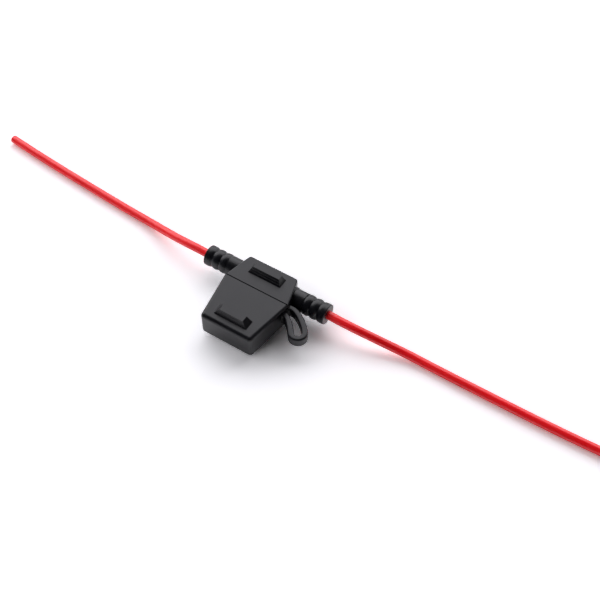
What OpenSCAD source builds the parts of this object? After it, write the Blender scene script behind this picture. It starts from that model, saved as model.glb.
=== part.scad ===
// Inline holder for one small blade fuse: a moulded T shaped body with a ribbed tube each side,
// a pull-off cap on a hairpin tether, two crimped terminals and two leads.
// +X runs along the leads, +Y from the cap to the body, +Z up from the lower grip bars.

/* [Housing] */
// Width across the parting line, the widest place of body and cap
housing_w = 24; // [23:0.5:28]
// Height of body and cap without their grip bars
housing_h = 8.6; // [7.8:0.1:9.4]
// Length of the body behind the parting line
body_l = 10.3; // [10:0.1:13]
// Width of the body at its back
body_back_w = 18.2; // [17:0.2:22]
// Width of the cap at its front
cap_front_w = 18.8; // [17:0.2:22]
// Wall of the cap at its sides
cap_side_wall = 1.5; // [1:0.1:1.8]
// Wall of the cap above and below the fuse, and at its front
cap_wall = 1.6; // [1.2:0.1:1.8]
// Open line between body and cap
parting_gap = 0.1; // [0.05:0.05:0.4]
// Radius of the body's back corners, seen from above
back_r = 1; // [0.9:0.1:1.5]
// Radius of the cap's front corners and of its upper front edge
front_r = 1.3; // [1:0.1:1.6]
// Radius of the body's back edges and of the cap's lower front edge
edge_r = 0.4; // [0.2:0.05:0.45]
// Radius of the long corners, seen along Y at the parting line
side_r = 0.8; // [0.4:0.1:1.2]
// Bevel of the two rims that face each other at the parting line
rim_bevel = 0.15; // [0.1:0.05:0.4]

/* [Grip bars] */
// Length of each bar across the housing
grip_l = 12.2; // [8:0.2:14]
// Depth of each bar at its foot
grip_d = 3.6; // [3:0.1:4.5]
// Height of each bar
grip_h = 2.1; // [1.2:0.1:2.5]
// Run of the cap bar's stepped front slope
cap_grip_run = 0.9; // [0.6:0.1:1.4]
// Run of the body bar's stepped front slope
body_grip_run = 1.3; // [0.6:0.1:1.7]
// Run of the bars' back slope
grip_back_run = 0.5; // [0.2:0.1:1]
// Run of the cap bar's two end slopes
cap_grip_end = 1.8; // [0.6:0.1:2]
// Run of the body bar's two end slopes
body_grip_end = 1.2; // [0.6:0.1:2]
// Steps in the front slope
grip_steps = 3; // [2:1:3]
// Width of the ledge between two steps
ledge_w = 0.12; // [0.05:0.01:0.2]
// From the cap's front to the foot of its bar
cap_grip_inset = 2.8; // [2:0.1:4]
// From the parting line to the foot of the body's bar
body_grip_inset = 4.3; // [3:0.1:5]

/* [Ribbed tubes] */
// Outer diameter of each tube where it is plain
tube_d = 6.7; // [5.5:0.1:7.2]
// From the middle of the holder to the end of each tube
tube_reach = 22.9; // [20:0.2:28]
// From the parting line back to the tubes' axis
tube_setback = 6.2; // [5.9:0.1:6.4]
// Ribs on each tube
rib_count = 3; // [2:1:3]
// Distance from one rib to the next
rib_pitch = 2.8; // [2:0.1:3]
// How far the ribs stand out from the plain tube
rib_rise = 0.15; // [0.05:0.05:0.5]
// Depth of the valley between two ribs
valley_d = 0.4; // [0.2:0.05:0.8]
// Radius of the end rib's outer edge
rib_end_r = 0.3; // [0.1:0.05:0.6]
// Radius of the flare where a tube leaves the body
flare_r = 0.4; // [0.2:0.1:1.2]

/* [Plug] */
// Length of the plug that reaches into the cap
plug_l = 6.4; // [6.2:0.1:7]
// Clearance between the plug and the cap all round
plug_clear = 0.3; // [0.2:0.05:0.45]
// Radius of the plug's corners
plug_r = 0.8; // [0.4:0.1:1.2]

/* [Fuse] */
// Width of the fuse
fuse_w = 10.9; // [10.8:0.1:11]
// Thickness of the fuse's head at its rim
fuse_t = 3.8; // [3.4:0.1:4]
// Length of the fuse's head
fuse_head_l = 8.8; // [8.4:0.1:9]
// Width of each blade
blade_w = 2.8; // [2.6:0.1:3]
// Thickness of each blade
blade_t = 0.8; // [0.7:0.05:0.85]
// Length of each blade below the head
blade_l = 7.5; // [7:0.1:7.8]
// Distance between the middles of the two blades
blade_pitch = 8.1; // [8:0.1:8.2]
// Gap between the fuse's head and the plug
fuse_seat = 0.3; // [0.1:0.05:0.4]
// Gap between the fuse's head and the cap's front wall
fuse_clear = 0.5; // [0.3:0.1:3]

/* [Terminals] */
// Thickness of the terminals' sheet
sheet_t = 0.4; // [0.3:0.05:0.5]
// Clearance of a blade in its terminal, and of a terminal in the body
fit = 0.04; // [0.02:0.01:0.08]
// Length of the crimp round the strands
strand_crimp_l = 3.2; // [2.5:0.1:3.4]
// Length of the crimp round the insulation
jacket_crimp_l = 2.4; // [2:0.1:3]
// Gap between the two crimps
crimp_gap = 0.6; // [0.4:0.1:0.8]

/* [Leads] */
// Outer diameter of each lead
lead_d = 2.9; // [2.6:0.1:3.2]
// Diameter of the stranded conductor
core_d = 1.5; // [1.2:0.1:1.7]
// Strands that show round the middle one
strand_count = 6; // [5:1:8]
// Clearance of a lead in its tube
lead_clear = 0.05; // [0.02:0.01:0.15]

/* [Tether] */
// Width of the strap, seen from above
strap_w = 2; // [1.2:0.05:2.1]
// Height of the strap
strap_h = 3.6; // [2:0.1:4.4]
// Radius of the strap's four edges
strap_r = 0.6; // [0.2:0.05:0.9]
// From the parting line back to the strap's root on the body
body_root = 1.1; // [1.1:0.1:1.6]
// From the parting line forward to the strap's root on the cap
cap_root = 2.1; // [2:0.1:3.4]
// From the housing's widest place out to the middle of the eye
eye_reach = 7; // [6:0.1:8]
// From the parting line forward to the middle of the eye
eye_forward = 5.5; // [5:0.1:7]
// Inner radius of the eye
eye_r = 1.2; // [1.1:0.1:2]

/* [Hidden] */
$fn = 48;
hull_fn = 32;
thin = 0.02;

z_mid = grip_h + housing_h / 2;
cap_l = plug_l + fuse_seat + fuse_head_l + fuse_clear + cap_wall;
part_y = (cap_l - body_l) / 2;
back_y = part_y + body_l;
front_y = part_y - cap_l;
tube_y = part_y + tube_setback;
half_gap = parting_gap / 2;

cavity_h = housing_h - 2 * cap_wall;
cavity_front_y = front_y + cap_wall;
cap_slope = (housing_w - cap_front_w) / 2 / cap_l;
body_slope = (housing_w - body_back_w) / 2 / body_l;
function cavity_half(y) = housing_w / 2 - cap_side_wall - cap_slope * (part_y - y);
function plug_half(y) = cavity_half(y) - plug_clear;
plug_h = cavity_h - 2 * plug_clear;
nose_y = part_y - plug_l;

head_back_y = nose_y - fuse_seat;
head_front_y = head_back_y - fuse_head_l;
blade_tip_y = head_back_y + blade_l;

// The link bows between the blades, and both sit in the head with a little room
blade_top_y = head_front_y + 1.4;
link_y = (head_front_y + head_back_y) / 2;
link_t = 0.6;
bow_r = (blade_pitch - blade_w) / 2;
link_reach = bow_r + link_t / 2;
head_room = 0.1;

// How far shapes of one piece reach into each other, and cuts past a face
lap = 0.4;
receptacle_w = blade_w + 2 * fit + 2 * sheet_t;
receptacle_h = blade_t + 2 * fit + 2 * sheet_t;
mouth_lip = 0.5;
mouth_room = 0.25;
tip_room = 0.5;
receptacle_y = nose_y + mouth_lip;
receptacle_back_y = blade_tip_y + tip_room;
terminal_x = blade_pitch / 2;
tang_w = 2;
tang_x = terminal_x + tang_w / 2;
strand_crimp_x = tang_x + lap / 2;
jacket_crimp_x = strand_crimp_x + strand_crimp_l + crimp_gap;
lead_start_x = jacket_crimp_x + lap / 2 + lead_clear;
core_start_x = strand_crimp_x + lap;
core_r = core_d / 2;
lead_r = lead_d / 2;
crimp_fit = 0.02;

// A lead's way after its tube: out from the tube's end, back from its axis, and the share of the
// axis' height that is left. It drops to the floor and lies there.
lead_z = lead_r + lead_clear;
right_way = [
    [4.8, -0.1, 1], [9.8, 0.2, 0.9], [14.8, 1, 0.675], [19.8, 1.95, 0.4], [24.8, 2.75, 0.175],
    [29.8, 3.15, 0.05], [35.8, 3.2, 0], [44.8, 3.15, 0], [54.8, 3.15, 0], [64.8, 3.15, 0],
    [74.8, 3.25, 0], [84.8, 3.5, 0], [94.8, 3.9, 0]
];
left_way = [
    [4.8, 0.1, 1], [9.8, 0.4, 0.9], [14.8, 1.15, 0.675], [19.8, 2.2, 0.4], [24.8, 3.15, 0.175],
    [29.8, 3.8, 0.05], [35.8, 4.25, 0], [44.8, 4.85, 0], [54.8, 5.6, 0], [64.8, 6.4, 0],
    [74.8, 7.25, 0], [84.8, 8.2, 0], [95.3, 9.4, 0]
];
route_steps = 2;
lead_sides = 8;

// Curves and sweeps
function unit(v) = v / norm(v);
function spline(a, b, c, d, t) =
    0.5 * (2 * b + (c - a) * t + (2 * a - 5 * b + 4 * c - d) * t * t + (3 * b - a - 3 * c + d) * t * t * t);
function smooth(p, n) = concat(
    [for (i = [0 : len(p) - 2], k = [0 : n - 1])
        spline(p[max(i - 1, 0)], p[i], p[i + 1], p[min(i + 2, len(p) - 1)], k / n)],
    [p[len(p) - 1]]
);
function bezier(a, b, c, d, n) = [for (k = [0 : n]) let (t = k / n, s = 1 - t)
    s * s * s * a + 3 * s * s * t * b + 3 * s * t * t * c + t * t * t * d];
function along(p, i) = unit(p[min(i + 1, len(p) - 1)] - p[max(i - 1, 0)]);
function across(t) = unit(cross([0, 0, 1], t));
function ring(p, i, section) = let (t = along(p, i), s = across(t), u = cross(t, s))
    [for (q = section) p[i] + q[0] * s + q[1] * u];
function circle_section(r, n) = [for (k = [0 : n - 1]) let (a = 360 * (k + 0.5) / n) r * [cos(a), sin(a)]];
function route(side, way) = concat(
    [for (x = [lead_start_x, (lead_start_x + tube_reach) / 2, tube_reach]) [side * x, tube_y, z_mid]],
    [for (w = way) [side * (tube_reach + w[0]), tube_y + w[1], lead_z + w[2] * (z_mid - lead_z)]]
);
function strap_section(w, h, r) = [for (c = [0 : 3], k = [0 : 2])
    let (a = 90 * c + 45 * k, sx = (c == 0 || c == 3) ? 1 : -1, sz = (c < 2) ? 1 : -1)
    [sx * (w / 2 - r) + r * cos(a), sz * (h / 2 - r) + r * sin(a)]];

// A solid that follows a path: every ring of points holds the section, and both ends are closed
module sweep(path, section) {
    n = len(section);
    last = len(path) - 1;
    points = [for (i = [0 : last]) each ring(path, i, section)];
    sides = [for (i = [0 : last - 1], k = [0 : n - 1])
        let (a = i * n + k, b = i * n + (k + 1) % n) each [[a, a + n, b], [b, a + n, b + n]]];
    ends = [[for (k = [0 : n - 1]) k], [for (k = [n - 1 : -1 : 0]) last * n + k]];
    polyhedron(points, concat(ends, sides), convexity = 6);
}

// A rectangle about the origin with round corners, out of true arcs
module round_rect(w, h, r) {
    square([w - 2 * r, h], center = true);
    square([w, h - 2 * r], center = true);
    for (x = [-1, 1], y = [-1, 1]) translate([x * (w / 2 - r), y * (h / 2 - r)]) circle(r);
}

// A thin plate across Y, used as one end of a housing half
module rim(y, w, h, r) {
    translate([0, y, z_mid]) rotate([90, 0, 0])
        linear_extrude(thin, center = true) round_rect(w, h, r, $fn = hull_fn);
}

// Corner of a block, seen from above round with plan_r, its edge rounded with roll_r
module corner(plan_r, roll_r) {
    rotate_extrude($fn = hull_fn) intersection() {
        translate([plan_r - roll_r, 0]) circle(roll_r, $fn = hull_fn);
        translate([0, -roll_r]) square([plan_r, 2 * roll_r]);
    }
}

// Half of the housing: from the parting line to a narrower end with round corners.
// The end's corners touch the straight flanks of the taper.
module housing_half(dir, length, end_w, end_r, top_r) {
    face = part_y + dir * half_gap;
    slope = (housing_w - end_w) / 2 / length;
    end_y = part_y + dir * (length - end_r);
    end_x = housing_w / 2 - slope * (length - end_r) - end_r * sqrt(1 + slope * slope);
    hull() {
        rim(face + dir * thin / 2, housing_w - 2 * rim_bevel, housing_h - 2 * rim_bevel, side_r);
        rim(face + dir * rim_bevel, housing_w - 2 * slope * rim_bevel, housing_h, side_r);
        for (x = [-1, 1]) translate([x * end_x, end_y, z_mid]) {
            translate([0, 0, housing_h / 2 - top_r]) corner(end_r, top_r);
            translate([0, 0, edge_r - housing_h / 2]) corner(end_r, edge_r);
        }
    }
}

// Raised bar: a stepped slope at the front, a plain one at the back and at both ends.
// Its front foot is at the origin, and it is sunk a little into what carries it.
module grip_bar(run, end_run) {
    riser_run = (run - (grip_steps - 1) * ledge_w) / grip_steps;
    riser_h = grip_h / grip_steps;
    front = [for (k = [0 : grip_steps - 1]) each [
        [k * (riser_run + ledge_w), k * riser_h],
        [k * (riser_run + ledge_w) + riser_run, (k + 1) * riser_h]
    ]];
    intersection() {
        rotate([90, 0, 90]) linear_extrude(grip_l, center = true)
            polygon(concat(
                [[0, -lap]], front, [[grip_d - grip_back_run, grip_h], [grip_d, 0], [grip_d, -lap]]
            ));
        rotate([90, 0, 0]) linear_extrude(3 * grip_d, center = true)
            polygon([
                [-grip_l / 2, -lap], [grip_l / 2, -lap], [grip_l / 2, 0], [grip_l / 2 - end_run, grip_h],
                [end_run - grip_l / 2, grip_h], [-grip_l / 2, 0]
            ]);
    }
}

module grip_bars(y, run, end_run) {
    translate([0, y, z_mid + housing_h / 2]) grip_bar(run, end_run);
    translate([0, y, z_mid - housing_h / 2]) mirror([0, 0, 1]) grip_bar(run, end_run);
}

// Half section of a tube: plain root with a flare, then round ribs, bored for the lead
module tube_section() {
    r = tube_d / 2;
    peak_r = r + rib_rise;
    bead_r = (rib_pitch * rib_pitch / 4 + valley_d * valley_d) / (2 * valley_d);
    ribs_x = tube_reach - rib_count * rib_pitch;
    root_x = housing_w / 2 - body_slope * tube_setback;
    difference() {
        union() {
            translate([0, lead_start_x]) square([r, ribs_x - lead_start_x]);
            difference() {
                translate([0, root_x - flare_r]) square([r + flare_r / 2, 2 * flare_r]);
                translate([r + flare_r, root_x + flare_r]) circle(flare_r);
            }
            for (k = [0 : rib_count - 1]) translate([0, ribs_x + k * rib_pitch]) intersection() {
                translate([peak_r - bead_r, rib_pitch / 2]) circle(bead_r);
                square([peak_r, rib_pitch]);
            }
            // The end rib keeps its height as far as its rounded edge
            translate([0, tube_reach - rib_pitch / 2]) {
                square([peak_r - rib_end_r, rib_pitch / 2]);
                square([peak_r, rib_pitch / 2 - rib_end_r]);
            }
            translate([peak_r - rib_end_r, tube_reach - rib_end_r]) circle(rib_end_r);
        }
        square([lead_r + lead_clear, tube_reach + lap]);
    }
}

module tube(side) {
    translate([0, tube_y, z_mid]) rotate([0, side * 90, 0]) rotate_extrude() tube_section();
}

module plug() {
    inner_y = part_y + half_gap + lap;
    translate([0, 0, z_mid]) hull() {
        for (x = [-1, 1]) {
            translate([x * (plug_half(nose_y) - plug_r), nose_y + plug_r, 0])
                cylinder(h = plug_h, r = plug_r, center = true, $fn = hull_fn);
            translate([x * (plug_half(part_y) - plug_r), inner_y, 0])
                cylinder(h = plug_h, r = plug_r, center = true, $fn = hull_fn);
        }
    }
}

// A block about the fuse's plane: its middle and width along X, its ends along Y, its thickness
module block(x, w, y0, y1, t) {
    translate([x - w / 2, y0, z_mid - t / 2]) cube([w, y1 - y0, t]);
}

// Room in the body for one terminal, its crimps and the lead, on the +X side
module terminal_pocket() {
    crimp_r = core_r + crimp_fit + sheet_t + fit;
    jacket_r = lead_r + crimp_fit + sheet_t + fit;
    jacket_room_x = jacket_crimp_x - crimp_gap - lap;
    block(terminal_x, receptacle_w + 2 * fit, receptacle_y - fit, receptacle_back_y + fit,
        receptacle_h + 2 * fit);
    block(terminal_x, blade_w + 2 * mouth_room, nose_y - lap, receptacle_y + lap, blade_t + 2 * mouth_room);
    translate([terminal_x - tang_w / 2 - fit, receptacle_back_y - lap, z_mid - receptacle_h / 2 - fit])
        cube([tang_w + 2 * fit, tube_y + crimp_r - receptacle_back_y + lap, sheet_t + 2 * fit]);
    translate([terminal_x - tang_w / 2 - fit, tube_y - crimp_r, z_mid - crimp_r])
        cube([jacket_crimp_x - terminal_x + tang_w / 2, 2 * crimp_r, 2 * crimp_r]);
    translate([jacket_room_x, tube_y, z_mid]) rotate([0, 90, 0])
        cylinder(h = jacket_crimp_x + jacket_crimp_l + fit - jacket_room_x, r = jacket_r);
    translate([jacket_crimp_x, tube_y, z_mid]) rotate([0, 90, 0])
        cylinder(h = tube_reach - jacket_crimp_x + lap, r = lead_r + lead_clear);
}

module holder_body() {
    color("#2b2b2e") difference() {
        union() {
            housing_half(1, body_l, body_back_w, back_r, edge_r);
            plug();
            grip_bars(part_y + body_grip_inset, body_grip_run, body_grip_end);
            tube(1);
            tube(-1);
        }
        terminal_pocket();
        mirror([1, 0, 0]) terminal_pocket();
    }
}

// The cavity follows the cap's taper, so its side walls keep one thickness
module cap_cavity() {
    corner = plug_r;
    translate([0, 0, z_mid]) linear_extrude(cavity_h, center = true) hull() {
        for (x = [-1, 1]) {
            translate([x * (cavity_half(cavity_front_y) - corner), cavity_front_y + corner]) circle(corner);
            translate([x * cavity_half(part_y) - x * thin, part_y]) square(2 * thin, center = true);
        }
    }
}

module cap() {
    color("#2b2b2e") difference() {
        union() {
            housing_half(-1, cap_l, cap_front_w, front_r, front_r);
            grip_bars(front_y + cap_grip_inset, cap_grip_run, cap_grip_end);
        }
        cap_cavity();
    }
}

// Middle line of the tether: off the body's flank, round the eye, back to the cap's flank
function tether_path() =
    let (
        root_gap = 0.1,
        root_run = 0.3,
        pull = 0.35,
        root_pull = 0.22,
        ring_r = eye_r + strap_w / 2,
        eye = [housing_w / 2 + eye_reach, part_y - eye_forward, z_mid],
        turn = 37,
        out_a = unit([1, body_slope, 0]),
        out_b = unit([1, -cap_slope, 0]),
        root_a = [housing_w / 2 - body_slope * body_root, part_y + body_root, z_mid] + root_gap * out_a,
        root_b = [housing_w / 2 - cap_slope * cap_root, part_y - cap_root, z_mid] + root_gap * out_b,
        start_a = root_a + root_run * out_a,
        start_b = root_b + root_run * out_b,
        down = [sin(turn), -cos(turn), 0],
        meet_a = eye + ring_r * [cos(turn), sin(turn), 0],
        meet_b = eye - ring_r * [cos(turn), sin(turn), 0],
        reach_a = norm(meet_a - start_a),
        reach_b = norm(meet_b - start_b),
        bend_a = start_a + root_pull * reach_a * out_a,
        bend_b = start_b + root_pull * reach_b * out_b,
        leg_a = bezier(start_a, bend_a, meet_a - pull * reach_a * down, meet_a, 12),
        leg_b = bezier(meet_b, meet_b - pull * reach_b * down, bend_b, start_b, 9),
        bow = [for (a = [turn - 15 : -15 : turn - 165]) eye + ring_r * [cos(a), sin(a), 0]]
    )
    concat([root_a], leg_a, bow, leg_b, [root_b]);

module tether() {
    color("#2b2b2e") sweep(tether_path(), strap_section(strap_w, strap_h, strap_r));
}

// Open barrel rolled round the wire, with its seam on top
module crimp(x, inner_r, length) {
    seam = 0.2;
    translate([x, tube_y, z_mid]) rotate([0, 90, 0]) difference() {
        cylinder(h = length, r = inner_r + sheet_t);
        translate([0, 0, -lap]) cylinder(h = length + 2 * lap, r = inner_r);
        translate([-inner_r - 2 * sheet_t, -seam / 2, -lap]) cube([3 * sheet_t, seam, length + 2 * lap]);
    }
}

// Flag terminal of the +X side, out of one strip: a receptacle whose sides are rolled over the blade,
// a tang that turns the corner, and two crimps along the lead
module terminal() {
    strand_r = core_r + crimp_fit;
    jacket_r = lead_r + crimp_fit;
    lip_gap = 0.6;
    neck_w = 1.4;
    neck_bite = 0.15;
    neck_top = strand_r + sheet_t - neck_bite;
    neck_bottom = jacket_r + neck_bite;
    translate([terminal_x, receptacle_back_y, z_mid]) rotate([90, 0, 0])
        linear_extrude(receptacle_back_y - receptacle_y) difference() {
            round_rect(receptacle_w, receptacle_h, sheet_t * 0.9);
            square([receptacle_w - 2 * sheet_t, receptacle_h - 2 * sheet_t], center = true);
            translate([-lip_gap / 2, 0]) square([lip_gap, receptacle_h]);
        }
    translate([terminal_x - tang_w / 2, receptacle_back_y - lap, z_mid - receptacle_h / 2])
        cube([tang_w, tube_y + strand_r - receptacle_back_y + lap, sheet_t]);
    translate([tang_x - lap / 2, tube_y - strand_r, z_mid - receptacle_h / 2])
        cube([strand_crimp_x - tang_x + lap, 2 * strand_r, sheet_t]);
    crimp(strand_crimp_x, strand_r, strand_crimp_l);
    translate([strand_crimp_x + strand_crimp_l - lap / 2, tube_y - neck_w / 2, z_mid - neck_bottom])
        cube([crimp_gap + lap, neck_w, neck_bottom - neck_top]);
    crimp(jacket_crimp_x, jacket_r, jacket_crimp_l);
}

module terminal_right() {
    color("#c9c6bd") terminal();
}

module terminal_left() {
    color("#c9c6bd") mirror([1, 0, 0]) terminal();
}

// Clear coloured head of the fuse: a rim round a thinner waist, open below for the two blades
module fuse_body() {
    rim_l = 1.4;
    waist_step = 0.3;
    link_room = link_reach + head_room;
    color("#3f7fd0") difference() {
        union() {
            block(0, fuse_w - 2 * waist_step, head_front_y, head_back_y, fuse_t - 2 * waist_step);
            block(0, fuse_w, head_front_y, head_front_y + rim_l, fuse_t);
            block(0, fuse_w, head_back_y - rim_l, head_back_y, fuse_t);
        }
        for (side = [-1, 1])
            block(side * terminal_x, blade_w + 2 * fit, blade_top_y - head_room, head_back_y + lap,
                blade_t + 2 * fit);
        block(0, 2 * link_room, link_y - link_room, head_back_y - rim_l, blade_t + 4 * head_room);
    }
}

// The fuse's metal: two blades and the thin bowed link between them, punched as one piece
module fuse_element() {
    tip = 0.5;
    color("#b9bcc0") translate([0, 0, z_mid]) linear_extrude(blade_t, center = true) {
        for (side = [-1, 1]) translate([side * terminal_x, 0])
            polygon([
                [-blade_w / 2, blade_top_y], [blade_w / 2, blade_top_y],
                [blade_w / 2, blade_tip_y - tip], [blade_w / 2 - tip, blade_tip_y],
                [-blade_w / 2 + tip, blade_tip_y], [-blade_w / 2, blade_tip_y - tip]
            ]);
        translate([0, link_y]) difference() {
            circle(link_reach);
            circle(link_reach - link_t);
            translate([0, 2 * link_reach]) square(4 * link_reach, center = true);
        }
    }
}

// Bared strands inside the crimps
module core() {
    strand_r = core_r / 3;
    length = lead_start_x - core_start_x;
    translate([core_start_x, tube_y, z_mid]) rotate([0, 90, 0]) {
        cylinder(h = length, r = core_r - strand_r * 0.8);
        for (k = [0 : strand_count - 1]) rotate([0, 0, 360 * k / strand_count])
            translate([core_r - strand_r, 0, 0]) cylinder(h = length, r = strand_r);
    }
}

module core_right() {
    color("#c77a4a") core();
}

module core_left() {
    color("#c77a4a") mirror([1, 0, 0]) core();
}

module lead(side, way) {
    color("#e2202e") sweep(smooth(route(side, way), route_steps), circle_section(lead_r, lead_sides));
}

module lead_right() {
    lead(1, right_way);
}

module lead_left() {
    lead(-1, left_way);
}

holder_body();
cap();
tether();
terminal_left();
terminal_right();
fuse_body();
fuse_element();
core_left();
core_right();
lead_left();
lead_right();
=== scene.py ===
import math
import random

import bpy
import numpy as np
from mathutils import Matrix, Vector


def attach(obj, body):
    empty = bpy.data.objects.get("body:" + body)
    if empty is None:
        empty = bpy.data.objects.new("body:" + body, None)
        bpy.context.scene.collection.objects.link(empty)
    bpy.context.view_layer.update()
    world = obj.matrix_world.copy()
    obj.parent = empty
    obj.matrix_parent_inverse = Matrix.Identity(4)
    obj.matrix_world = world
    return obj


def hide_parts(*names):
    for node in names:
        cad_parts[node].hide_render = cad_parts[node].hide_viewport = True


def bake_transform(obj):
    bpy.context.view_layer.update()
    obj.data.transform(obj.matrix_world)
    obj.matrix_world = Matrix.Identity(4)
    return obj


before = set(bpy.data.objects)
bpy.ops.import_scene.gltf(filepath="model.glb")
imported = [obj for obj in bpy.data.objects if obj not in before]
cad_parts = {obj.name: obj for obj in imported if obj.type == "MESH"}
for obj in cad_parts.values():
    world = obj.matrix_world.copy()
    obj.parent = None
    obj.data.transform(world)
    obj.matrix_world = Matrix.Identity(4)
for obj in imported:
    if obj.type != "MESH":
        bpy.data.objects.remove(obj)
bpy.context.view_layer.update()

bl_info = {
    "name": "Inline fuse holder",
    "version": (1, 0, 0),
    "blender": (4, 5, 0),
    "location": "3D View > Sidebar > Fuse Holder",
    "description": "Dresses the packed fuse holder with its leads, tether, materials and stage",
    "category": "Add Mesh",
}

MM = 0.001
HOLDER = "holder"

# The photograph's width and height in pixels
PICTURE = 600

# Places in mm that part.scad has too: the parting line, the housing's middle height, the tubes' axis
PART_Y = 3.65
MID_Z = 6.4
TUBE_Y = 9.85
# From the middle plane to each tube's end, and to the place in its crimp where a lead begins
TUBE_REACH = 22.9
LEAD_START = 9.3
# Height of a lead's middle where it lies on the floor
LYING_Z = 1.5

# Noise textures lie mostly between these two values
NOISE_LOW, NOISE_HIGH = 0.3, 0.7

# Colour of both lamps, a touch cooler than white
LAMP_COLOUR = "#F8F7FC"


# Colours and nodes
def linear(hex_colour):
    """An sRGB hex colour as linear red, green, blue and alpha."""
    value = hex_colour.lstrip("#")
    srgb = [int(value[i : i + 2], 16) / 255 for i in (0, 2, 4)]
    return tuple(c / 12.92 if c <= 0.04045 else ((c + 0.055) / 1.055) ** 2.4 for c in srgb) + (1.0,)


def add_node(tree, kind, inputs=None, **settings):
    """Adds a node, applies its settings, and fills its inputs with values or links."""
    node = tree.nodes.new(kind)
    for name, value in settings.items():
        setattr(node, name, value)
    for key, value in (inputs or {}).items():
        if isinstance(value, bpy.types.NodeSocket):
            tree.links.new(value, node.inputs[key])
        else:
            node.inputs[key].default_value = value
    return node


def per_mm(size_mm):
    """Scale of a pattern whose features are size_mm apart, for coordinates in metres."""
    return 1 / (size_mm * MM)


def new_material(name):
    """An empty node material, its tree and its output node."""
    material = bpy.data.materials.new(name)
    material.use_nodes = True
    tree = material.node_tree
    tree.nodes.clear()
    output = add_node(tree, "ShaderNodeOutputMaterial")
    return material, tree, output


def noise_at(tree, size_mm, detail=2.0, stretch=None):
    """Noise with features of size_mm, in the object's own metres, optionally stretched per axis."""
    place = add_node(tree, "ShaderNodeTexCoord").outputs["Object"]
    if stretch:
        place = add_node(tree, "ShaderNodeMapping", {"Vector": place, "Scale": stretch}).outputs["Vector"]
    noise = add_node(
        tree,
        "ShaderNodeTexNoise",
        {"Vector": place, "Scale": per_mm(size_mm), "Detail": detail, "Roughness": 0.55},
    )
    return noise.outputs["Fac"]


def spread(tree, value, low, high):
    """Maps noise to low..high."""
    ranged = add_node(
        tree,
        "ShaderNodeMapRange",
        {"Value": value, "From Min": NOISE_LOW, "From Max": NOISE_HIGH, "To Min": low, "To Max": high},
    )
    return ranged.outputs["Result"]


def tint(tree, value, dark, light):
    """A colour between two hex colours, by noise."""
    ramp = add_node(tree, "ShaderNodeValToRGB", {"Fac": value})
    low, high = ramp.color_ramp.elements
    low.position, high.position = NOISE_LOW, NOISE_HIGH
    low.color, high.color = linear(dark), linear(light)
    return ramp.outputs["Color"]


# Materials
def soft_pvc_moulded(look):
    """Black flexible PVC from a satin mould."""
    # Its skin is a fine spark-eroded grain, so light from above spreads to an even dark grey, while
    # faces turned away from the light stay almost black. Real grain is about 0.1 mm; it is drawn at
    # 0.3 mm here, the finest that shows.
    material, tree, output = new_material("soft_pvc_moulded_black")
    grain = noise_at(tree, 0.3, 3.0)
    cloud = noise_at(tree, 6.0, 2.0)
    bump = add_node(tree, "ShaderNodeBump", {"Strength": 0.35, "Distance": 0.012 * MM, "Height": grain})
    shader = add_node(
        tree,
        "ShaderNodeBsdfPrincipled",
        {
            "Base Color": tint(tree, cloud, look.plastic_dark, look.plastic_light),
            "Roughness": spread(tree, cloud, 0.32, 0.38),
            "IOR": 1.42,
            "Normal": bump.outputs["Normal"],
        },
    )
    tree.links.new(shader.outputs["BSDF"], output.inputs["Surface"])
    return material


def pvc_extruded(look):
    """Red PVC insulation, drawn through a die."""
    # A smooth satin gloss with a clear highlight along the wire, faint lines along its length from
    # the die, and a colour that goes slightly deeper in patches.
    material, tree, output = new_material("pvc_insulation_extruded_red")
    lines = noise_at(tree, 0.5, 2.0, (0.06, 1.0, 1.0))
    cloud = noise_at(tree, 9.0, 2.0)
    bump = add_node(tree, "ShaderNodeBump", {"Strength": 0.25, "Distance": 0.01 * MM, "Height": lines})
    shader = add_node(
        tree,
        "ShaderNodeBsdfPrincipled",
        {
            "Base Color": tint(tree, cloud, look.insulation_dark, look.insulation_light),
            "Roughness": spread(tree, lines, 0.28, 0.38),
            "IOR": 1.53,
            "Subsurface Weight": 0.08,
            "Subsurface Radius": (1.0, 0.15, 0.1),
            "Subsurface Scale": 0.5 * MM,
            "Normal": bump.outputs["Normal"],
        },
    )
    tree.links.new(shader.outputs["BSDF"], output.inputs["Surface"])
    return material


def metal(name, dark, light, rough_low, rough_high, grain_mm, stretch, depth_mm):
    """A metal with drawn, rolled or cast marks of a real size."""
    material, tree, output = new_material(name)
    marks = noise_at(tree, grain_mm, 3.0, stretch)
    bump = add_node(tree, "ShaderNodeBump", {"Strength": 0.4, "Distance": depth_mm * MM, "Height": marks})
    shader = add_node(
        tree,
        "ShaderNodeBsdfPrincipled",
        {
            "Base Color": tint(tree, marks, dark, light),
            "Metallic": 1.0,
            "Roughness": spread(tree, marks, rough_low, rough_high),
            "Normal": bump.outputs["Normal"],
        },
    )
    tree.links.new(shader.outputs["BSDF"], output.inputs["Surface"])
    return material


def copper_drawn():
    """Bare copper strands."""
    # Bright warm metal, drawn along the wire, with a little brown tarnish at the cut.
    return metal(
        "copper_wire_drawn",
        dark="#B8673A",
        light="#DB9166",
        rough_low=0.24,
        rough_high=0.36,
        grain_mm=0.25,
        stretch=(0.1, 1.0, 1.0),
        depth_mm=0.004,
    )


def brass_tinned():
    """Terminal strip of tin-plated brass."""
    # Pale grey with a warm cast and a soft milky gloss, and rolling lines along the strip.
    return metal(
        "brass_strip_tinned",
        dark="#B9B5AA",
        light="#D6D3CB",
        rough_low=0.26,
        rough_high=0.40,
        grain_mm=0.4,
        stretch=(1.0, 0.15, 1.0),
        depth_mm=0.005,
    )


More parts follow.
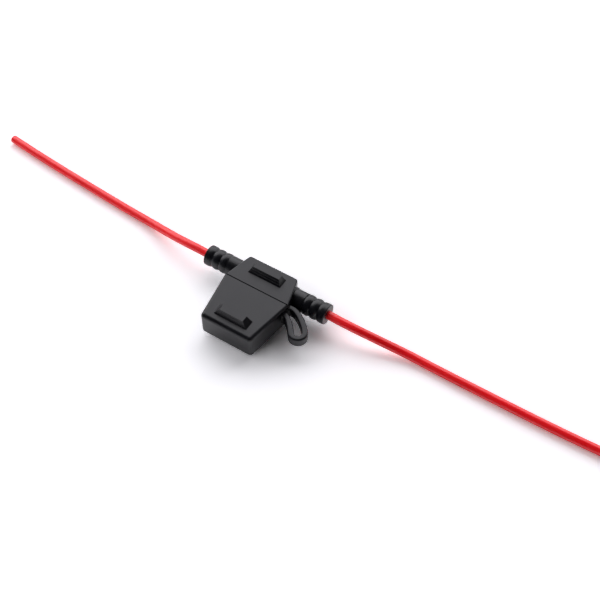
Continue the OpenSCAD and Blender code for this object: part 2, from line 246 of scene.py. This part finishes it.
def zinc_stamped():
    """Fuse blades and link of rolled zinc."""
    # Cooler and duller than the tin, with a rolled surface and faint scratches along the blades.
    return metal(
        "zinc_sheet_stamped",
        dark="#9FA3A8",
        light="#C4C8CC",
        rough_low=0.36,
        rough_high=0.52,
        grain_mm=0.5,
        stretch=(1.0, 0.12, 1.0),
        depth_mm=0.006,
    )


def fuse_plastic(look):
    """Clear coloured plastic of the fuse's head."""
    # Polycarbonate with a polished mould: see-through blue with sharp highlights and faint flow marks.
    material, tree, output = new_material("polycarbonate_moulded_clear")
    flow = noise_at(tree, 2.5, 2.0)
    bump = add_node(tree, "ShaderNodeBump", {"Strength": 0.15, "Distance": 0.01 * MM, "Height": flow})
    shader = add_node(
        tree,
        "ShaderNodeBsdfPrincipled",
        {
            "Base Color": tint(tree, flow, look.fuse_dark, look.fuse_light),
            "Roughness": spread(tree, flow, 0.06, 0.14),
            "IOR": 1.58,
            "Transmission Weight": 0.75,
            "Normal": bump.outputs["Normal"],
        },
    )
    tree.links.new(shader.outputs["BSDF"], output.inputs["Surface"])
    return material


def dress(node, material):
    """Gives a CAD node its material in place of the plain one."""
    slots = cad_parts[node].data.materials
    slots.clear()
    slots.append(material)


# Paths and sweeps
def catmull_rom(points, steps):
    """A smooth line through the points, as part.scad draws it but finer."""
    p = np.array(points, float)
    line = []
    for i in range(len(p) - 1):
        a, b, c, d = p[max(i - 1, 0)], p[i], p[i + 1], p[min(i + 2, len(p) - 1)]
        for t in np.arange(steps) / steps:
            square = (2 * a - 5 * b + 4 * c - d) * t**2
            cube = (3 * b - a - 3 * c + d) * t**3
            line.append(0.5 * (2 * b + (c - a) * t + square + cube))
    return np.array(line + [p[-1]])


def bezier(a, b, c, d, steps):
    """A cubic Bezier line from a to d."""
    t = np.linspace(0, 1, steps + 1)[:, None]
    return (1 - t) ** 3 * a + 3 * (1 - t) ** 2 * t * b + 3 * (1 - t) * t**2 * c + t**3 * d


def rings_along(line, sections):
    """One ring of points round each point of a line, for sections given as (across, up) offsets."""
    before, after = np.vstack([line[:1], line[:-1]]), np.vstack([line[1:], line[-1:]])
    along = after - before
    along /= np.linalg.norm(along, axis=1)[:, None]
    across = np.cross([0, 0, 1], along)
    across /= np.linalg.norm(across, axis=1)[:, None]
    up = np.cross(along, across)
    return [
        [line[i] + u * across[i] + v * up[i] for u, v in sections[i]] for i in range(len(line))
    ]


def ring_normals(rings):
    """Normals at the points of a skin over rings, so that pieces of one skin shade as one."""
    grid = np.array(rings)
    around = np.roll(grid, -1, axis=1) - np.roll(grid, 1, axis=1)
    normals = np.cross(np.gradient(grid, axis=0), around)
    return normals / np.linalg.norm(normals, axis=2)[..., None]


def ring_mesh(name, rings, material):
    """A closed skin over rings of equal count, with a flat fan at both ends."""
    count = len(rings[0])
    points = [p for ring in rings for p in ring]
    faces = []
    for i in range(len(rings) - 1):
        for k in range(count):
            a, b = i * count + k, i * count + (k + 1) % count
            faces.append((a, a + count, b + count, b))
    faces.append(tuple(range(count)))
    faces.append(tuple((len(rings) - 1) * count + k for k in reversed(range(count))))
    mesh = bpy.data.meshes.new(name)
    mesh.from_pydata([Vector(p) * MM for p in points], [], faces)
    mesh.validate()
    mesh.polygons.foreach_set("use_smooth", [True] * (len(mesh.polygons) - 2) + [False, False])
    mesh.materials.append(material)
    piece = bpy.data.objects.new(name, mesh)
    bpy.context.scene.collection.objects.link(piece)
    return piece


def circle(radius, sides):
    """Section of a round wire."""
    turns = 2 * np.pi * (np.arange(sides) + 0.5) / sides
    return np.column_stack([np.cos(turns), np.sin(turns)]) * radius


def lead_line(side, way):
    """A lead's centreline in millimetres: out of its tube, down to the floor and along it."""
    inside = [(side * x, TUBE_Y, MID_Z) for x in (LEAD_START, (LEAD_START + TUBE_REACH) / 2, TUBE_REACH)]
    drop = MID_Z - LYING_Z
    outside = [
        (side * (TUBE_REACH + out), TUBE_Y + back, LYING_Z + share * drop) for out, back, share in way
    ]
    steps_between_points = 8
    return catmull_rom(inside + outside, steps_between_points)


# Millimetres out from the tube's end and back from its axis, and the share of the axis' height that is
# left above the lying lead
LEAD_WAYS = {
    "lead_right": [
        (4.8, -0.1, 1), (9.8, 0.2, 0.9), (14.8, 1.0, 0.675), (19.8, 1.95, 0.4), (24.8, 2.75, 0.175),
        (29.8, 3.15, 0.05), (35.8, 3.2, 0), (44.8, 3.15, 0), (54.8, 3.15, 0), (64.8, 3.15, 0),
        (74.8, 3.25, 0), (84.8, 3.5, 0), (94.8, 3.9, 0),
    ],
    "lead_left": [
        (4.8, 0.1, 1), (9.8, 0.4, 0.9), (14.8, 1.15, 0.675), (19.8, 2.2, 0.4), (24.8, 3.15, 0.175),
        (29.8, 3.8, 0.05), (35.8, 4.25, 0), (44.8, 4.85, 0), (54.8, 5.6, 0), (64.8, 6.4, 0),
        (74.8, 7.25, 0), (84.8, 8.2, 0), (95.3, 9.4, 0),
    ],
}


# Settings
class CameraSettings(bpy.types.PropertyGroup):
    """Where the photograph was taken from."""

    azimuth: bpy.props.FloatProperty(
        name="Azimuth",
        description="Turn of the camera round the holder",
        default=math.radians(31.885),
        subtype="ANGLE",
    )
    elevation: bpy.props.FloatProperty(
        name="Elevation",
        description="Angle of the camera above the floor",
        default=math.radians(53.549),
        subtype="ANGLE",
    )
    roll: bpy.props.FloatProperty(
        name="Roll",
        description="Turn of the camera about its view",
        default=math.radians(0.350),
        subtype="ANGLE",
    )
    distance: bpy.props.FloatProperty(
        name="Distance", description="From the camera to the housing", default=0.31807, unit="LENGTH"
    )
    focal: bpy.props.FloatProperty(
        name="Focal length", description="In pixels of a picture 600 wide", default=994.98
    )
    offset: bpy.props.FloatVectorProperty(
        name="Housing in the picture",
        description="Pixel at which the housing's middle shows",
        size=2,
        default=(256.737, 297.097),
    )


class LeadSettings(bpy.types.PropertyGroup):
    """Sizes of the two leads."""

    diameter: bpy.props.FloatProperty(
        name="Diameter", description="Outside of the insulation", default=2.9 * MM, unit="LENGTH"
    )
    core: bpy.props.FloatProperty(
        name="Core", description="Diameter of the stranded conductor", default=1.5 * MM, unit="LENGTH"
    )
    sides: bpy.props.IntProperty(name="Sides", description="Faces round a lead", default=28, min=12)


class TetherSettings(bpy.types.PropertyGroup):
    """Sizes of the strap that holds the cap."""

    width: bpy.props.FloatProperty(
        name="Width", description="Seen from above", default=2.0 * MM, unit="LENGTH"
    )
    height: bpy.props.FloatProperty(
        name="Height", description="Along Z", default=3.6 * MM, unit="LENGTH"
    )
    edge: bpy.props.FloatProperty(
        name="Edge radius", description="Of its four long edges", default=0.6 * MM, unit="LENGTH"
    )
    eye: bpy.props.FloatProperty(
        name="Eye radius", description="Inside of the turn at its end", default=1.2 * MM, unit="LENGTH"
    )
    root: bpy.props.FloatProperty(
        name="Root fillet", description="Flare where it leaves body and cap", default=0.5 * MM, unit="LENGTH"
    )


class LookSettings(bpy.types.PropertyGroup):
    """Colours that a user may change, as sRGB hex values."""

    plastic_dark: bpy.props.StringProperty(
        name="Plastic, dark", description="Darker shade of the body, cap and tether", default="#07070B"
    )
    plastic_light: bpy.props.StringProperty(
        name="Plastic, light", description="Lighter shade of the body, cap and tether", default="#0B0B11"
    )
    insulation_dark: bpy.props.StringProperty(
        name="Insulation, dark", description="Darker shade of the leads", default="#EC0812"
    )
    insulation_light: bpy.props.StringProperty(
        name="Insulation, light", description="Lighter shade of the leads", default="#F5121C"
    )
    fuse_dark: bpy.props.StringProperty(
        name="Fuse, dark", description="Darker shade of the fuse's head", default="#2C6FC4"
    )
    fuse_light: bpy.props.StringProperty(
        name="Fuse, light", description="Lighter shade of the fuse's head", default="#4C8CDC"
    )


class StageSettings(bpy.types.PropertyGroup):
    """Floor and light round the holder."""

    floor_size: bpy.props.FloatProperty(
        name="Floor", description="Side of the floor", default=4.0, unit="LENGTH"
    )
    key: bpy.props.FloatProperty(
        name="Key light", description="Brightness of the large soft light", default=2.8
    )
    front: bpy.props.FloatProperty(
        name="Front light", description="Brightness of the smaller light in front", default=1.7
    )
    fill: bpy.props.FloatProperty(
        name="Fill light", description="Brightness of the light from all round", default=0.04
    )


class HolderSettings(bpy.types.PropertyGroup):
    """All settings of the holder."""

    camera: bpy.props.PointerProperty(type=CameraSettings)
    leads: bpy.props.PointerProperty(type=LeadSettings)
    tether: bpy.props.PointerProperty(type=TetherSettings)
    look: bpy.props.PointerProperty(type=LookSettings)
    stage: bpy.props.PointerProperty(type=StageSettings)


# Operators
class FUSEHOLDER_OT_camera(bpy.types.Operator):
    """Sets the camera up at the photograph's viewing angle"""

    bl_idname = "fuse_holder.camera"
    bl_label = "Camera"

    def execute(self, context):
        s = context.scene.fuse_holder.camera
        a, e, r = s.azimuth, s.elevation, s.roll
        back = Vector((math.sin(a) * math.cos(e), -math.cos(a) * math.cos(e), math.sin(e)))
        level = Vector((math.cos(a), math.sin(a), 0))
        upright = back.cross(level)
        right = math.cos(r) * level + math.sin(r) * upright
        up = math.cos(r) * upright - math.sin(r) * level
        x, y = (c - PICTURE / 2 for c in s.offset)
        middle = Vector((0, PART_Y, MID_Z)) * MM
        place = middle + s.distance * (back - right * (x / s.focal) + up * (y / s.focal))
        data = bpy.data.cameras.new("camera")
        data.sensor_width = 36
        data.lens = s.focal * data.sensor_width / PICTURE
        data.clip_start, data.clip_end = 0.01, 20
        camera = bpy.data.objects.new("camera", data)
        camera.matrix_world = Matrix.Translation(place) @ Matrix((right, up, back)).transposed().to_4x4()
        context.scene.collection.objects.link(camera)
        context.scene.camera = camera
        return {"FINISHED"}


class FUSEHOLDER_OT_leads(bpy.types.Operator):
    """Lays the two red leads along their routes and shows their strands at the cut ends"""

    bl_idname = "fuse_holder.leads"
    bl_label = "Leads"

    def execute(self, context):
        s = context.scene.fuse_holder
        red, copper = pvc_extruded(s.look), copper_drawn()
        radius, core = s.leads.diameter / 2 / MM, s.leads.core / 2 / MM
        for name, way in LEAD_WAYS.items():
            side = 1 if name.endswith("right") else -1
            line = lead_line(side, way)
            self.lay(name, line, radius, core, s.leads.sides, red, copper, side)
        return {"FINISHED"}

    def lay(self, name, line, radius, core, sides, red, copper, side):
        """One lead: its insulation, and the strands that show at its end."""
        # The strands stand out of the insulation by less than this, which is cut back so that they too
        # end within the CAD's lead
        cut_back = 0.15
        # The cut rounds the insulation's rim a little, and the bore behind it holds the strands
        edge, bore, bore_depth = 0.12, core + 0.06, 0.8
        out = line[-1] - line[-2]
        out /= np.linalg.norm(out)
        line = np.vstack([line[:-1], line[-1] - cut_back * out])
        end = line[-1]
        loops = [
            (end - edge * out, radius),
            (end, radius - edge),
            (end, bore),
            (end - bore_depth * out, bore),
        ]
        across = np.cross([0, 0, 1], out)
        across /= np.linalg.norm(across)
        up = np.cross(out, across)
        rings = rings_along(line[:-1], [circle(radius, sides)] * (len(line) - 1))
        for place, r in loops:
            rings.append([place + u * across + v * up for u, v in circle(r, sides)])
        jacket = ring_mesh(name + "_insulation", rings, red)
        strands = self.strands(name + "_strands", end, out, across, up, core, copper)
        for piece, slot in ((jacket, "red_insulation"), (strands, "copper")):
            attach(piece, HOLDER)
        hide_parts(name)

    def strands(self, name, end, out, across, up, core, copper):
        """Nineteen strands in a bundle, each cut at a slightly different length."""
        chance = random.Random(7)
        # Radius of a strand: one in the middle, six round it and twelve round those, so five across
        thick = core / 5
        twist = 0.3
        spots = [(0.0, 0.0)]
        for count, distance in ((6, 2 * thick), (12, 3.9 * thick)):
            for k in range(count):
                turn = 2 * math.pi * (k + twist) / count
                spots.append((distance * math.cos(turn), distance * math.sin(turn)))
        # Each strand starts inside the bore and has a small bevel round its tip
        inside, bevel, tip_share, sides = -0.7, 0.03, 0.75, 10
        points, faces = [], []
        for u, v in spots:
            tip = chance.uniform(0.02, 0.14)
            middle = end + u * across + v * up
            rings = ((inside, thick), (tip - bevel, thick), (tip, thick * tip_share))
            for reach, r in rings:
                points += [middle + reach * out + a * across + b * up for a, b in circle(r, sides)]
            base = len(points) - len(rings) * sides
            for row in range(len(rings) - 1):
                for k in range(sides):
                    a, b = base + row * sides + k, base + row * sides + (k + 1) % sides
                    faces.append((a, b, b + sides, a + sides))
            faces.append(tuple(len(points) - sides + k for k in range(sides)))
            faces.append(tuple(base + k for k in reversed(range(sides))))
        mesh = bpy.data.meshes.new(name)
        mesh.from_pydata([Vector(p) * MM for p in points], [], faces)
        mesh.materials.append(copper)
        piece = bpy.data.objects.new(name, mesh)
        bpy.context.scene.collection.objects.link(piece)
        return piece


class FUSEHOLDER_OT_tether(bpy.types.Operator):
    """Makes the strap between body and cap, as three pieces: the body's leg, the eye and the cap's leg"""

    bl_idname = "fuse_holder.tether"
    bl_label = "Tether"

    def execute(self, context):
        s = context.scene.fuse_holder
        line, meetings, outward = self.line(s.tether.width / MM, s.tether.eye / MM)
        rings = rings_along(line, self.sections(line, s.tether))
        normals = ring_normals(rings)
        plastic = soft_pvc_moulded(s.look)
        # Each piece gets a start and an end, which nothing below reads. A leg's run from its root to twice
        # its reach, so that the eye lies halfway; the eye's lie so far apart that all of it sits near their
        # middle.
        a, b = meetings
        far = 10 / MM * outward
        roots = line[0], line[-1]
        reach_a, reach_b = ((line[i] - root) @ outward for i, root in zip(meetings, roots))
        for name, first, last, start, end in (
            ("tether_body_leg", 0, a, roots[0], roots[0] + 2 * reach_a * outward),
            ("tether_eye", a, b, line[a] - far, line[a] + far),
            ("tether_cap_leg", b, len(line) - 1, roots[1] + 2 * reach_b * outward, roots[1]),
        ):
            piece = ring_mesh(name, rings[first : last + 1], plastic)
            piece.data.normals_split_custom_set_from_vertices(normals[first : last + 1].reshape(-1, 3))
            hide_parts("tether")
            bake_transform(piece)
        return {"FINISHED"}

    def line(self, width, eye_radius):
        """Off the body's flank, round the eye, back to the cap's flank, as part.scad has it.

        Also gives the two places in the line where the legs meet the eye, and the legs' direction there.
        """
        # Half the housing's widest place, and how far each flank draws in for each mm along it
        half_w, body_slope, cap_slope = 12.0, 2.9 / 10.3, 2.6 / 17.6
        # From the parting line to the two roots, how deep they sit in the flank, and how far the strap
        # leaves it at a right angle
        body_root, cap_root, sunk, straight = 1.1, 2.1, 0.15, 0.4
        # The middle of the eye, out from the widest place and forward, and the turn of the hairpin
        reach, forward, turn = 7.0, 5.5, math.radians(37)
        # How far each leg's curve holds its direction at the root and at the eye, as shares of its reach
        root_pull, eye_pull = 0.22, 0.35
        # Steps along the two legs, and degrees from point to point round the eye
        body_steps, cap_steps, bow_step = 36, 28, 5
        out_a = np.array([1, body_slope, 0]) / math.hypot(1, body_slope)
        out_b = np.array([1, -cap_slope, 0]) / math.hypot(1, cap_slope)
        flank_a = np.array([half_w - body_slope * body_root, PART_Y + body_root, MID_Z])
        flank_b = np.array([half_w - cap_slope * cap_root, PART_Y - cap_root, MID_Z])
        start_a, start_b = flank_a + straight * out_a, flank_b + straight * out_b
        eye = np.array([half_w + reach, PART_Y - forward, MID_Z])
        ring = eye_radius + width / 2
        side = np.array([math.cos(turn), math.sin(turn), 0])
        outward = np.array([math.sin(turn), -math.cos(turn), 0])
        meet_a, meet_b = eye + ring * side, eye - ring * side
        reach_a = np.linalg.norm(meet_a - start_a)
        reach_b = np.linalg.norm(meet_b - start_b)
        bend_a, bend_b = start_a + root_pull * reach_a * out_a, start_b + root_pull * reach_b * out_b
        leg_a = bezier(start_a, bend_a, meet_a - eye_pull * reach_a * outward, meet_a, body_steps)
        leg_b = bezier(meet_b, meet_b - eye_pull * reach_b * outward, bend_b, start_b, cap_steps)
        angles = turn - np.radians(np.arange(bow_step, 180, bow_step))
        bow = eye + ring * np.column_stack([np.cos(angles), np.sin(angles), np.zeros(len(angles))])
        roots = np.linspace(-sunk, straight, 6)[:-1, None]
        line = np.vstack([flank_a + roots * out_a, leg_a, bow, leg_b, flank_b + roots[::-1] * out_b])
        first = len(roots) + len(leg_a) - 1
        return line, (first, first + len(bow) + 1), outward

    def sections(self, line, strap):
        """The strap's section at each point of its line, with a flare at both roots."""
        width, height, edge = strap.width / MM, strap.height / MM, strap.edge / MM
        root = strap.root / MM
        flare_length = 0.9
        run = np.concatenate([[0], np.cumsum(np.linalg.norm(np.diff(line, axis=0), axis=1))])
        sections = []
        for from_body in run:
            flare_body = root * max(0.0, 1 - from_body / flare_length) ** 2
            flare_cap = root * max(0.0, 1 - (run[-1] - from_body) / flare_length) ** 2
            both = flare_body + flare_cap
            # The body's root is close to the parting line, so it flares only away from it
            sections.append(self.section(width, height, edge, both, flare_cap, both))
        return sections

    def section(self, width, height, edge, rise, left, right):
        """A rectangle with round corners that grows by rise up and down, and by left and right."""
        steps_in_corner = 4
        points = []
        for corner in range(4):
            sx = 1 if corner in (0, 3) else -1
            sz = 1 if corner < 2 else -1
            wide = width / 2 + (left if sx > 0 else right)
            for k in range(steps_in_corner + 1):
                a = math.radians(90 * corner + 90 / steps_in_corner * k)
                u = sx * (wide - edge) + edge * math.cos(a)
                v = sz * (height / 2 + rise - edge) + edge * math.sin(a)
                points.append((u, v))
        return points


class FUSEHOLDER_OT_housing(bpy.types.Operator):
    """Gives the body and the cap their moulded plastic"""

    bl_idname = "fuse_holder.housing"
    bl_label = "Body and cap"

    def execute(self, context):
        plastic = soft_pvc_moulded(context.scene.fuse_holder.look)
        for node in ("holder_body", "cap"):
            dress(node, plastic)
        return {"FINISHED"}


class FUSEHOLDER_OT_contacts(bpy.types.Operator):
    """Gives the terminals, the bared strands and the fuse their materials"""

    bl_idname = "fuse_holder.contacts"
    bl_label = "Terminals and fuse"

    def execute(self, context):
        tin, copper = brass_tinned(), copper_drawn()
        for side in ("left", "right"):
            dress("terminal_" + side, tin)
            dress("core_" + side, copper)
        dress("fuse_element", zinc_stamped())
        dress("fuse_body", fuse_plastic(context.scene.fuse_holder.look))
        return {"FINISHED"}


class FUSEHOLDER_OT_stage(bpy.types.Operator):
    """Adds the white floor, a large soft light behind, a smaller one in front and weak light all round"""

    bl_idname = "fuse_holder.stage"
    bl_label = "Floor and light"

    def execute(self, context):
        s = context.scene.fuse_holder.stage
        self.floor(s.floor_size)
        # Places and sizes of the lights in metres
        behind, behind_size = (-0.4, 0.64, 0.62), (2.6, 1.05)
        ahead, ahead_size = (-0.7, -0.75, 0.7), (1.4, 1.0)
        self.softbox("softbox_behind", behind, behind_size, s.key)
        front = self.softbox("softbox_front", ahead, ahead_size, s.front)
        # The smaller light in front only opens the shadows: it has no reflection of its own
        front.visible_glossy = False
        self.world(context.scene, s.fill)
        context.scene.view_settings.view_transform = "Standard"
        return {"FINISHED"}

    def seen(self, tree):
        """1 for rays from the camera and for those seen in or through gloss, else 0."""
        path = add_node(tree, "ShaderNodeLightPath").outputs
        value = path["Is Camera Ray"]
        for kind in ("Is Glossy Ray", "Is Transmission Ray"):
            higher = add_node(tree, "ShaderNodeMath", {0: value, 1: path[kind]}, operation="MAXIMUM")
            value = higher.outputs[0]
        return value

    def floor(self, size):
        """Matt white paper that goes over into plain white away from the holder."""
        # Flat paper without a shine. It looks brighter than it lights the holder, because its glare
        # counts only where the paper is seen. The holder's shadow stays.
        material, tree, output = new_material("paper_matt_white")
        # From here to there, in metres from the holder, the paper turns into the white background
        fade_start, fade_end = 0.10, 0.3
        seen = self.seen(tree)
        paper = add_node(tree, "ShaderNodeBsdfDiffuse", {"Color": linear("#F2F2F2"), "Roughness": 0.5})
        glare = add_node(tree, "ShaderNodeBsdfDiffuse", {"Color": linear("#CBCBCB"), "Roughness": 0.5})
        none = add_node(tree, "ShaderNodeEmission", {"Color": (0, 0, 0, 1), "Strength": 0.0})
        lifted = add_node(tree, "ShaderNodeMixShader", {0: seen, 1: none.outputs[0], 2: glare.outputs[0]})
        near = add_node(tree, "ShaderNodeAddShader", {0: paper.outputs[0], 1: lifted.outputs[0]})
        white = add_node(tree, "ShaderNodeEmission", {"Color": (1, 1, 1, 1), "Strength": 1.0})
        place = add_node(tree, "ShaderNodeTexCoord").outputs["Object"]
        away = add_node(tree, "ShaderNodeVectorMath", {0: place}, operation="LENGTH").outputs["Value"]
        far = add_node(
            tree,
            "ShaderNodeMapRange",
            {"Value": away, "From Min": fade_start, "From Max": fade_end, "To Min": 0.0, "To Max": 1.0},
            interpolation_type="SMOOTHSTEP",
        ).outputs["Result"]
        both = add_node(tree, "ShaderNodeMath", {0: far, 1: seen}, operation="MULTIPLY").outputs[0]
        mixed = add_node(tree, "ShaderNodeMixShader", {0: both, 1: near.outputs[0], 2: white.outputs[0]})
        tree.links.new(mixed.outputs[0], output.inputs["Surface"])
        mesh = bpy.data.meshes.new("floor")
        h = size / 2
        mesh.from_pydata([(-h, -h, 0), (h, -h, 0), (h, h, 0), (-h, h, 0)], [], [(0, 1, 2, 3)])
        mesh.materials.append(material)
        floor = bpy.data.objects.new("floor", mesh)
        bpy.context.scene.collection.objects.link(floor)

    def softbox(self, name, place, size, brightness):
        """A rectangular light that looks at the holder, whose brightness doesn't change with its size."""
        data = bpy.data.lights.new(name, "AREA")
        data.shape = "RECTANGLE"
        data.size, data.size_y = size
        data.energy = brightness * math.pi * size[0] * size[1]
        data.color = linear(LAMP_COLOUR)[:3]
        lamp = bpy.data.objects.new(name, data)
        lamp.location = place
        lamp.rotation_euler = Vector(place).to_track_quat("Z", "Y").to_euler()
        lamp.visible_camera = False
        bpy.context.scene.collection.objects.link(lamp)
        return lamp

    def world(self, scene, fill):
        """Weak light from all round, and white where nothing stands before the camera."""
        world = bpy.data.worlds.new("studio")
        world.use_nodes = True
        tree = world.node_tree
        tree.nodes.clear()
        output = add_node(tree, "ShaderNodeOutputWorld")
        seen = add_node(tree, "ShaderNodeLightPath").outputs["Is Camera Ray"]
        weak = add_node(tree, "ShaderNodeBackground", {"Color": (1, 1, 1, 1), "Strength": fill})
        white = add_node(tree, "ShaderNodeBackground", {"Color": (1, 1, 1, 1), "Strength": 1.0})
        mixed = add_node(tree, "ShaderNodeMixShader", {0: seen, 1: weak.outputs[0], 2: white.outputs[0]})
        tree.links.new(mixed.outputs[0], output.inputs["Surface"])
        scene.world = world


class FUSEHOLDER_PT_panel(bpy.types.Panel):
    """Lists the holder's operators and settings."""

    bl_idname = "FUSEHOLDER_PT_panel"
    bl_label = "Inline fuse holder"
    bl_space_type = "VIEW_3D"
    bl_region_type = "UI"
    bl_category = "Fuse Holder"

    def draw(self, context):
        for operator in OPERATORS:
            self.layout.operator(operator.bl_idname)
        settings = context.scene.fuse_holder
        for group in ("camera", "leads", "tether", "look", "stage"):
            column = self.layout.column(heading=group.title())
            values = getattr(settings, group)
            for name in values.bl_rna.properties.keys():
                if name not in ("rna_type", "name"):
                    column.prop(values, name)


OPERATORS = [
    FUSEHOLDER_OT_camera,
    FUSEHOLDER_OT_leads,
    FUSEHOLDER_OT_tether,
    FUSEHOLDER_OT_housing,
    FUSEHOLDER_OT_contacts,
    FUSEHOLDER_OT_stage,
]
SETTINGS = [CameraSettings, LeadSettings, TetherSettings, LookSettings, StageSettings, HolderSettings]


def register():
    for cls in SETTINGS + OPERATORS + [FUSEHOLDER_PT_panel]:
        bpy.utils.register_class(cls)
    bpy.types.Scene.fuse_holder = bpy.props.PointerProperty(type=HolderSettings)


def unregister():
    del bpy.types.Scene.fuse_holder
    for cls in reversed(SETTINGS + OPERATORS + [FUSEHOLDER_PT_panel]):
        bpy.utils.unregister_class(cls)


def main():
    register()
    bpy.ops.fuse_holder.camera()
    bpy.ops.fuse_holder.leads()
    bpy.ops.fuse_holder.tether()
    bpy.ops.fuse_holder.housing()
    bpy.ops.fuse_holder.contacts()
    bpy.ops.fuse_holder.stage()


if __name__ == "__main__":
    main()
